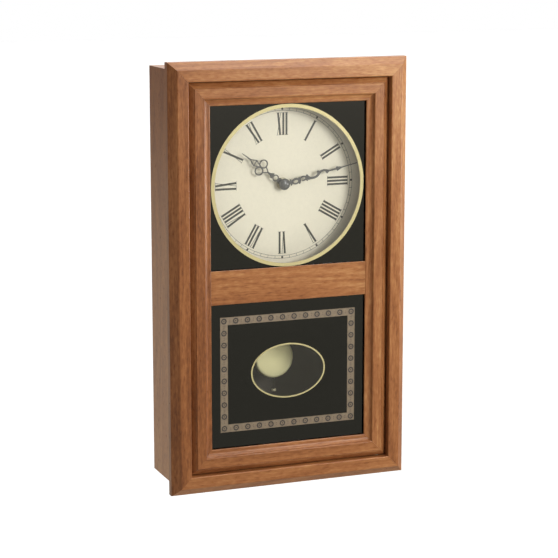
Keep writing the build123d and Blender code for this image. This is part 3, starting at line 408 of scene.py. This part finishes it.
marks = [printed_line(dial_centre, radius, radius, track_line, ink_layer)
         for radius in (track_inner, track_outer)]
half_tick, tick_end = track_line / 2, track_outer - track_line
tick = printed([(-half_tick, track_inner), (half_tick, track_inner),
                (half_tick, tick_end), (-half_tick, tick_end)], ink_layer)
middle = (track_inner + track_outer) / 2
square = printed([(-half_square, middle - half_square), (half_square, middle - half_square),
                  (half_square, middle + half_square), (-half_square, middle + half_square)], square_layer)
marks += [tick, square]
marks += [copy_of(tick, math.radians(6 * minute)) for minute in range(1, 60)]
marks += [copy_of(square, math.radians(30 * hour)) for hour in range(1, 12)]
piece = joined("dial_minute_track", marks)
dress(piece, ink)
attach(piece, "case")

# Quartz movement with a pendulum drive: a moulded black case clipped shut over white gears, coils and a cell.
# It is held to the dial board by a rubber washer, a brass washer and a hexagon nut on its threaded neck.
plastic_black, acetal_white, rubber_black = (0.018, 0.018, 0.019), (0.72, 0.71, 0.67), (0.022, 0.022, 0.022)
arbor_brass, washer_brass, wire_copper = (0.72, 0.52, 0.22), (0.50, 0.45, 0.32), (0.55, 0.21, 0.08)
board_green, cell_grey, magnet_grey = (0.03, 0.16, 0.07), (0.05, 0.05, 0.055), (0.20, 0.20, 0.21)
black_plastic = speckled("black moulded plastic", plastic_black, roughness=0.48, scale=1500.0, spread=0.25)
white_gear = speckled("white acetal", acetal_white, roughness=0.42, scale=900.0, spread=0.05)
plain_brass = speckled("plain brass", arbor_brass, roughness=0.3, scale=700.0, spread=0.08, metal=1.0)
dull_brass = speckled("dull lacquered brass", washer_brass, roughness=0.55, scale=700.0, spread=0.08,
                      metal=0.4)
copper = speckled("enamelled copper wire", wire_copper, roughness=0.34, scale=160.0, spread=0.3, metal=1.0,
                  relief=0.4, stretch=(1, 60, 1))
rubber = speckled("black rubber", rubber_black, roughness=0.85, scale=1200.0, spread=0.3)
circuit_board = speckled("green circuit board", board_green, roughness=0.4, scale=900.0, spread=0.2)
cell_wrap = speckled("printed cell wrap", cell_grey, roughness=0.35, scale=500.0, spread=0.1)
magnet = speckled("sintered magnet", magnet_grey, roughness=0.45, scale=1500.0, spread=0.25, metal=0.6)
for finish, nodes_of_it in (
        (black_plastic, ("movement_case", "movement_cover", "setting_knob", "pendulum_hanger")),
        (white_gear, ("setting_arbor", "hour_wheel", "centre_wheel", "third_wheel", "second_wheel",
                      "intermediate_wheel", "rotor")),
        (plain_brass, ("minute_arbor",)), (dull_brass, ("brass_washer", "fixing_nut")),
        (zinc, ("pendulum_pivot_pin", "stator", "battery_contacts")),
        (copper, ("motor_coil", "pendulum_coil")),
        (rubber, ("rubber_washer",)), (circuit_board, ("circuit_board",)), (cell_wrap, ("battery",)),
        (magnet, ("drive_magnet",))):
    for node in nodes_of_it:
        dress(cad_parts[node], finish)

# Hands: cut from thin steel as openwork, painted dark grey, pressed on the hour wheel and the minute arbor.
# A small domed nut of paler grey holds the minute hand.
hand_grey, nut_grey = (0.062, 0.061, 0.057), (0.112, 0.112, 0.110)
hand_paint = speckled("dark hand paint", hand_grey, roughness=0.42, scale=1200.0, spread=0.15, relief=0.05)
nut_paint = speckled("grey nut paint", nut_grey, roughness=0.22, scale=1200.0, spread=0.1, relief=0.03)
for node, finish in (("minute_hand", hand_paint), ("hour_hand", hand_paint), ("hand_nut", nut_paint)):
    dress(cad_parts[node], finish)

# Pendulum: a flat rod bronzed dark, and a shallow domed disc pressed from brass sheet over a backing
# and lacquered a pale gold. A knurled brass nut at the rod's end raises or lowers the disc.
bob_height = -113.0
bob_section = [(0.0, 57.6), (4.0, 57.63), (8.0, 57.72), (12.0, 57.87), (16.0, 58.08), (19.5, 58.32),
               (22.0, 58.54), (23.2, 58.78), (24.2, 59.3), (24.9, 60.1), (25.3, 61.1), (25.4, 62.2),
               (25.4, 64.6), (25.15, 65.3), (24.6, 65.6), (12.0, 65.6), (0.0, 65.6)]
bob_gold, rod_bronze, end_nut_glint_brass = (1.0, 0.92, 0.52), (0.045, 0.036, 0.026), (0.70, 0.62, 0.40)


def turned(name, section, height, steps=96):
    """A piece turned on a lathe about the front-to-back line through a height, from its half section."""
    piece = start("circle", vertices=len(section), radius=0.01, fill_type="NOTHING")
    piece.name = piece.data.name = name
    for vertex, (radius, depth) in zip(piece.data.vertices, section):
        vertex.co = spot(radius, depth, height)
    bpy.ops.object.mode_set(mode="EDIT")
    pick(piece, lambda vertex: abs(vertex.co.x) < 1e-7)
    bpy.ops.mesh.delete(type="EDGE")
    bpy.ops.mesh.select_all(action="SELECT")
    bpy.ops.mesh.spin(steps=steps, angle=2 * math.pi, center=spot(0, 0, height), axis=(0, 1, 0))
    tidy_normals()
    bpy.ops.object.mode_set(mode="OBJECT")
    smooth(piece, 50)
    return piece


def lathe_brass(name, colour, height, roughness):
    """Pale lacquered brass with the fine round lines of the polishing wheel about its own centre."""
    brass = speckled(name, colour, roughness, scale=500.0, spread=0.02, metal=0.35, relief=0.001)
    nodes, links = brass.node_tree.nodes, brass.node_tree.links
    lay = nodes.new("ShaderNodeMapping")
    lay.inputs["Location"].default_value = -spot(0, 0, height)
    links.new(nodes["Texture Coordinate"].outputs["Object"], lay.inputs["Vector"])
    lines = nodes.new("ShaderNodeTexWave")
    lines.wave_type, lines.rings_direction = "RINGS", "Y"
    lines.inputs["Scale"].default_value = 700.0
    lines.inputs["Distortion"].default_value = 1.0
    links.new(lay.outputs["Vector"], lines.inputs["Vector"])
    polish = nodes.new("ShaderNodeBump")
    polish.inputs["Strength"].default_value = 0.003
    polish.inputs["Distance"].default_value = 0.00005
    links.new(lines.outputs["Fac"], polish.inputs["Height"])
    links.new(nodes["Bump"].outputs["Normal"], polish.inputs["Normal"])
    links.new(polish.outputs["Normal"], nodes["Principled BSDF"].inputs["Normal"])
    return brass


piece = turned("pendulum_bob_disc", bob_section, bob_height)
dress(piece, lathe_brass("lacquered bob brass", bob_gold, bob_height, roughness=0.44))
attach(piece, "pendulum")
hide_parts("pendulum_bob")
bronze = speckled("dark bronzed rod", rod_bronze, roughness=0.45, scale=400.0, spread=0.2, metal=0.5,
                  stretch=(4, 4, 0.3))
# The nut's brass is painted paler than brass, as a painted glint, so that it shows as a small bright dot.
nut_glint_brass = speckled("nut brass paled as painted glint", end_nut_glint_brass, roughness=0.3, scale=700.0, spread=0.05, metal=0.3)
dress(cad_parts["pendulum_rod"], bronze)
dress(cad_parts["rod_end_nut"], nut_glint_brass)

# Door: four mitred lengths of cherry with a wide outer bevel, a fine quirk line and a cove down to the glass.
# It hangs inside the face frame on concealed pivots at the right.
cove_centre, cove_radius, cove_steps = (25.1, 3.8), 5.5, 7
cove_turns = [math.radians(90 * step / cove_steps) for step in range(cove_steps + 1)]
cove = [(cove_centre[0] - cove_radius * math.cos(turn), cove_centre[1] + cove_radius * math.sin(turn))
        for turn in cove_turns]
door_section = [(0.0, 21.8), (0.0, 9.3), (6.5, 4.12), (6.9, 4.75), (7.5, 3.8)] + cove + [
    (27.5, 9.3), (28.15, 9.95), (28.15, 11.0), (21.7, 11.0), (21.7, 21.8)]
door_easing = {(0.0, 9.3): 0.7, (6.5, 4.12): 0.3, (7.5, 3.8): 0.3, (19.6, 3.8): 1.1, (27.5, 9.3): 0.6,
               (28.15, 9.95): 0.25, (0.0, 21.8): 0.5}
# How pale each length is stands partly for its own board tone and partly for painted light: the left stile is
# painted darker and a little paler towards its top, the rails paler towards the right, and the right stile a
# little darker towards its top, as painted shade.
for side, node, grain, seed, pale, painted_light_slope in (
        ("left", "door_left_stile", along_z, 61.3, -0.15, 0.1),
        ("right", "door_right_stile", along_z, 66.8, 0.03, -0.1),
        ("top", "door_top_rail", along_x, 71.9, 0.05, 0.3),
        ("bottom", "door_bottom_rail", along_x, 77.5, -0.02, 0.3)):
    piece = mitred_length(node + "_length", node, side, door_section, door_easing)
    dress(piece, cherry("cherry " + node.replace("_", " "), grain, seed, pale, painted_light_slope))
    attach(piece, "door")
    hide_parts(node)

# Cross rail between the two panes, and the strips that hold the glass in its rebate.
# They are cherry with chamfered edges, glued to the stiles.
# The cross rail is painted paler towards its right end, as painted light, over its own board tone.
dress(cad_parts["door_cross_rail"], cherry("cherry cross rail", along_x, 83.4, 0.06, 0.4))
dress(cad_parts["glazing_strips"], cherry("cherry glazing strips", along_z, 88.6))

# Panes: clear sheet glass 2 mm thick, laid in the door's rebate, with a flat black print behind each.
# The print leaves a round window for the dial and an oval one for the pendulum; it shines through the glass
# in front and is dull behind. A window is half its width, half its height and its middle's height in metres.
dial_window = (0.0945, 0.0945, -0.109)
pendulum_window = (0.0475, 0.0331, -0.3362)
glass_index, glass_tint, glass_roughness = 1.45, (0.995, 0.998, 0.995, 1), 0.02
print_black, print_gloss, print_dull = (0.0015, 0.0014, 0.0012), 0.04, 0.6


def pane_glass(name, half_width, half_height, height):
    """Clear glass that shines by itself only in the window; round it glass and ink shine as one."""
    glass = bpy.data.materials.new(name)
    glass.use_nodes = True
    nodes, links = glass.node_tree.nodes, glass.node_tree.links
    nodes.remove(nodes["Principled BSDF"])
    through, gloss = nodes.new("ShaderNodeBsdfTransparent"), nodes.new("ShaderNodeBsdfGlossy")
    edge, both = nodes.new("ShaderNodeFresnel"), nodes.new("ShaderNodeMixShader")
    through.inputs["Color"].default_value = glass_tint
    gloss.inputs["Color"].default_value = (1, 1, 1, 1)
    gloss.inputs["Roughness"].default_value = glass_roughness
    index, clear, shine = [nodes.new("ShaderNodeMath") for step in range(3)]
    index.operation = "MULTIPLY_ADD"
    index.inputs[1].default_value, index.inputs[2].default_value = 1 / glass_index - glass_index, glass_index
    links.new(nodes.new("ShaderNodeNewGeometry").outputs["Backfacing"], index.inputs[0])
    links.new(index.outputs[0], edge.inputs["IOR"])
    lay, away = nodes.new("ShaderNodeMapping"), nodes.new("ShaderNodeVectorMath")
    lay.inputs["Scale"].default_value = (1 / half_width, 0, 1 / half_height)
    lay.inputs["Location"].default_value = (0, 0, -height / half_height)
    away.operation, clear.operation, shine.operation = "LENGTH", "LESS_THAN", "MULTIPLY"
    clear.inputs[1].default_value = 1.0
    links.new(nodes.new("ShaderNodeTexCoord").outputs["Object"], lay.inputs["Vector"])
    links.new(lay.outputs["Vector"], away.inputs[0])
    links.new(away.outputs["Value"], clear.inputs[0])
    links.new(edge.outputs["Fac"], shine.inputs[0])
    links.new(clear.outputs[0], shine.inputs[1])
    links.new(shine.outputs[0], both.inputs["Fac"])
    links.new(through.outputs["BSDF"], both.inputs[1])
    links.new(gloss.outputs["BSDF"], both.inputs[2])
    links.new(both.outputs["Shader"], nodes["Material Output"].inputs["Surface"])
    return glass


dress(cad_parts["upper_glass"], pane_glass("upper pane glass", *dial_window))
dress(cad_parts["lower_glass"], pane_glass("lower pane glass", *pendulum_window))
black_print = speckled("black glass print", print_black, print_gloss, scale=800.0, spread=0.2, relief=0.0)
nodes, links = black_print.node_tree.nodes, black_print.node_tree.links
facing, dull = nodes.new("ShaderNodeSeparateXYZ"), nodes.new("ShaderNodeMapRange")
dull.inputs["To Min"].default_value, dull.inputs["To Max"].default_value = print_gloss, print_dull
links.new(nodes["Texture Coordinate"].outputs["Normal"], facing.inputs["Vector"])
links.new(facing.outputs["Y"], dull.inputs["Value"])
links.new(dull.outputs["Result"], nodes["Principled BSDF"].inputs["Roughness"])
for node in ("dial_mask", "pendulum_mask"):
    dress(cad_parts[node], black_print)

# Gold lines: a round line about the dial's window and an oval one about the pendulum's.
# Both are printed in metallic gold ink behind the glass, on the edge of the black print.
line_depth, line_layer = 13.1, 0.00007
ring_radius, ring_line = 0.0982, 0.0043
oval_half_width, oval_half_height, oval_line = 0.0484, 0.0340, 0.0018
oval_height = -118.2
line_gold = (0.53, 0.45, 0.215)
piece = joined("gold_lines_print", [
    printed_line(spot(0, line_depth, dial_height), ring_radius, ring_radius, ring_line, line_layer),
    printed_line(spot(0, line_depth, oval_height), oval_half_width, oval_half_height, oval_line, line_layer)])
gold_ink = speckled("gold print", line_gold, roughness=0.45, scale=900.0, spread=0.06, metal=0.2, relief=0.03)
dress(piece, gold_ink)
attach(piece, "door")
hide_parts("gold_lines")

# Border on the lower pane: an oblong band in dull gold ink, printed behind the glass with the gold lines.
# It runs all round the pane, a little in from the wood.
border_centre = spot(0, line_depth, -117.5)
border_half_width, border_half_height, border_band, border_layer = 0.0878, 0.0711, 0.0095, 0.00003
border_gold = (0.215, 0.160, 0.105)
band = start("plane", size=1.0, location=border_centre)
for vertex in band.data.vertices:
    vertex.co = (2 * vertex.co.x * border_half_width, 0, 2 * vertex.co.y * border_half_height)
piece = joined("pane_border_band", [outlined(band, border_band, border_layer)])
dull_ink = speckled("dull gold print", border_gold, roughness=0.5, scale=260.0, spread=0.2, metal=0.2,
                    relief=0.03)
dress(piece, dull_ink)
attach(piece, "door")

# Rosettes of the border: eight short petals in a ring about a dot, with a pair of lozenges between each two.
# They are printed in dark ink along the middle of the gold band, twelve across and ten down.
petal = [(-0.0006, 0.0019), (0.0006, 0.0019), (0.00125, 0.0028), (0.0009, 0.0036), (-0.0009, 0.0036),
         (-0.00125, 0.0028)]
dot = [(-0.001, 0.0), (0.0, -0.001), (0.001, 0.0), (0.0, 0.001)]
lozenge, lozenge_rise = [(-0.0005, 0.0), (0.0, -0.0005), (0.0005, 0.0), (0.0, 0.0005)], 0.0011
across, down, rosette_layer = 12, 10, 0.00006
rosette_dark = (0.012, 0.009, 0.010)
rosette = joined("rosette", [printed(dot, rosette_layer, 0.0, border_centre)]
                 + [printed(petal, rosette_layer, math.radians(45 * eighth), border_centre)
                    for eighth in range(8)])
diamond = joined("lozenge", [printed([(x, z + rise) for x, z in lozenge], rosette_layer, 0.0, border_centre)
                             for rise in (-lozenge_rise, lozenge_rise)])
reach_x, reach_z = border_half_width - border_band / 2, border_half_height - border_band / 2
row = [(-reach_x + 2 * reach_x * step / (across - 1), sign * reach_z)
       for sign in (1, -1) for step in range(across)]
column = [(sign * reach_x, -reach_z + 2 * reach_z * step / (down - 1))
          for sign in (1, -1) for step in range(1, down - 1)]
between_row = [(-reach_x + 2 * reach_x * (step + 0.5) / (across - 1), sign * reach_z)
               for sign in (1, -1) for step in range(across - 1)]
between_column = [(sign * reach_x, -reach_z + 2 * reach_z * (step + 0.5) / (down - 1))
                  for sign in (1, -1) for step in range(down - 1)]
prints = []
for part, places in ((rosette, row + column), (diamond, between_row + between_column)):
    for x, z in places:
        mark = copy_of(part, 0.0)
        mark.location = (x, 0, z)
        prints.append(mark)
    bpy.data.objects.remove(part)
piece = joined("pane_border_rosettes", prints)
dark_ink = speckled("dark rosette print", rosette_dark, roughness=0.5, scale=1100.0, spread=0.2, relief=0.03)
dress(piece, dark_ink)
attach(piece, "door")

# Door hardware: pivot pins that turn in bushes let into the case, and a steel strike plate on the door.
# A magnet in a moulded plastic catch on the case holds the plate.
catch_brown = (0.075, 0.038, 0.02)
catch_plastic = speckled("brown catch plastic", catch_brown, roughness=0.5, scale=1500.0, spread=0.2)
for node, finish in (("pivot_bushes", dull_brass), ("door_pivot_pins", dull_brass), ("strike_plate", zinc),
                     ("door_catch", catch_plastic), ("catch_magnet", magnet)):
    dress(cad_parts[node], finish)

# Studio floor: a wide sheet of pale paper well below the clock.
# The camera sees it near white, and the lacquer and glass mirror it in tones that change from front to back.
floor_size, floor_height = 60.0, -1.9
paper_white, paper_roughness, paper_lift = (0.86, 0.86, 0.85, 1), 0.9, 0.55
backwards, mirror_reach = (-0.6, 0.8, 0.0), 20.0
nearest_tone, farthest, farthest_tone = (1.0, 0.92, 0.76, 1), 0.95, (0.2, 0.19, 0.18, 1)
tones_between = ((0.25, (0.66, 0.625, 0.50, 1)), (0.42, (0.52, 0.495, 0.40, 1)),
                 (0.62, (0.80, 0.72, 0.60, 1)), (0.76, (0.85, 0.77, 0.63, 1)))
floor = start("plane", size=floor_size, location=(0, 0, floor_height))
floor.name = "studio_floor"
paper = bpy.data.materials.new("studio paper")
paper.use_nodes = True
nodes, links = paper.node_tree.nodes, paper.node_tree.links
sheet, path = nodes["Principled BSDF"], nodes.new("ShaderNodeLightPath")
lift, glow = nodes.new("ShaderNodeMath"), nodes.new("ShaderNodeEmission")
mix = nodes.new("ShaderNodeAddShader")
sheet.inputs["Base Color"].default_value = paper_white
sheet.inputs["Roughness"].default_value = paper_roughness
glow.inputs["Color"].default_value = (1, 1, 1, 1)
lift.operation = "MULTIPLY"
lift.inputs[1].default_value = paper_lift
links.new(path.outputs["Is Camera Ray"], lift.inputs[0])
links.new(lift.outputs[0], glow.inputs["Strength"])
links.new(sheet.outputs["BSDF"], mix.inputs[0])
links.new(glow.outputs["Emission"], mix.inputs[1])
place, away = nodes.new("ShaderNodeTexCoord"), nodes.new("ShaderNodeVectorMath")
reach, shade = nodes.new("ShaderNodeMapRange"), nodes.new("ShaderNodeValToRGB")
mirrored, either = nodes.new("ShaderNodeEmission"), nodes.new("ShaderNodeMixShader")
away.operation = "DOT_PRODUCT"
away.inputs[1].default_value = backwards
reach.inputs["From Min"].default_value, reach.inputs["From Max"].default_value = -mirror_reach, mirror_reach
stops = shade.color_ramp.elements
stops[0].position, stops[0].color = 0.0, nearest_tone
stops[1].position, stops[1].color = farthest, farthest_tone
for position, tone in tones_between:
    stops.new(position).color = tone
links.new(place.outputs["Object"], away.inputs[0])
links.new(away.outputs["Value"], reach.inputs["Value"])
links.new(reach.outputs["Result"], shade.inputs["Fac"])
links.new(shade.outputs["Color"], mirrored.inputs["Color"])
links.new(path.outputs["Is Glossy Ray"], either.inputs["Fac"])
links.new(mix.outputs["Shader"], either.inputs[1])
links.new(mirrored.outputs["Emission"], either.inputs[2])
links.new(either.outputs["Shader"], nodes["Material Output"].inputs["Surface"])
dress(floor, paper)

# Studio backdrop: white paper all round, plain white to the camera.
# It lights the clock more from above and the right, and what is mirrored of it is brightest overhead.
light_way, light_reach, light_strength = (0.40, -0.10, 0.85), (-0.6, 0.9), (0.21, 0.64)
mirror_way, mirror_span, mirror_strength = (-0.1, 0.3, 0.95), (0.3, 0.85), (0.2, 4.2)
world = bpy.data.worlds.new("white studio")
bpy.context.scene.world = world
world.use_nodes = True
nodes, links = world.node_tree.nodes, world.node_tree.links
seen, path, way = nodes["Background"], nodes.new("ShaderNodeLightPath"), nodes.new("ShaderNodeTexCoord")
gloss, choose = nodes.new("ShaderNodeMixShader"), nodes.new("ShaderNodeMixShader")
seen.inputs["Color"].default_value = (1, 1, 1, 1)
seen.inputs["Strength"].default_value = 1.0


def graded(towards, span, strength):
    """White paper that grows brighter towards one direction."""
    along, grade = nodes.new("ShaderNodeVectorMath"), nodes.new("ShaderNodeMapRange")
    white = nodes.new("ShaderNodeBackground")
    white.inputs["Color"].default_value = (1, 1, 1, 1)
    along.operation = "DOT_PRODUCT"
    along.inputs[1].default_value = towards
    grade.inputs["From Min"].default_value, grade.inputs["From Max"].default_value = span
    grade.inputs["To Min"].default_value, grade.inputs["To Max"].default_value = strength
    links.new(way.outputs["Generated"], along.inputs[0])
    links.new(along.outputs["Value"], grade.inputs["Value"])
    links.new(grade.outputs["Result"], white.inputs["Strength"])
    return white.outputs["Background"]


links.new(path.outputs["Is Glossy Ray"], gloss.inputs["Fac"])
links.new(graded(light_way, light_reach, light_strength), gloss.inputs[1])
links.new(graded(mirror_way, mirror_span, mirror_strength), gloss.inputs[2])
links.new(path.outputs["Is Camera Ray"], choose.inputs["Fac"])
links.new(gloss.outputs["Shader"], choose.inputs[1])
links.new(seen.outputs["Background"], choose.inputs[2])
links.new(choose.outputs["Shader"], nodes["World Output"].inputs["Surface"])

# Lights: square softboxes at the front right, at the right side and above, turned to the middle of the clock.
# The one in front is the strongest and casts the soft shadow at the right of the dial.
light_target = Vector((0, -0.05, -0.2))
for name, place, size, watts in (("front_softbox", (0.72, -1.34, 0.26), 0.60, 16.0),
                                 ("right_softbox", (1.38, -0.45, -0.22), 0.5, 9.0),
                                 ("top_softbox", (0.50, -0.40, 1.20), 0.6, 5.0)):
    bpy.ops.object.light_add(type="AREA", location=place)
    lamp = bpy.context.object
    lamp.name = name
    lamp.data.shape, lamp.data.size, lamp.data.energy = "SQUARE", size, watts
    lamp.rotation_euler = (light_target - lamp.location).to_track_quat("-Z", "Y").to_euler()

# Camera: left of the clock and a little above it, looking slightly down, with a long lens.
# Its colours are shown as they are.
camera_place, camera_down, camera_right = (-0.8326, -2.1909, 0.2059), 10.738, 21.319
bpy.ops.object.camera_add(location=camera_place)
camera = bpy.context.object
camera.rotation_euler = (math.radians(90 - camera_down), 0, math.radians(-camera_right))
camera.data.lens, camera.data.sensor_width = 122.75, 36.0
bpy.context.scene.camera = camera
bpy.context.scene.view_settings.view_transform = "Standard"
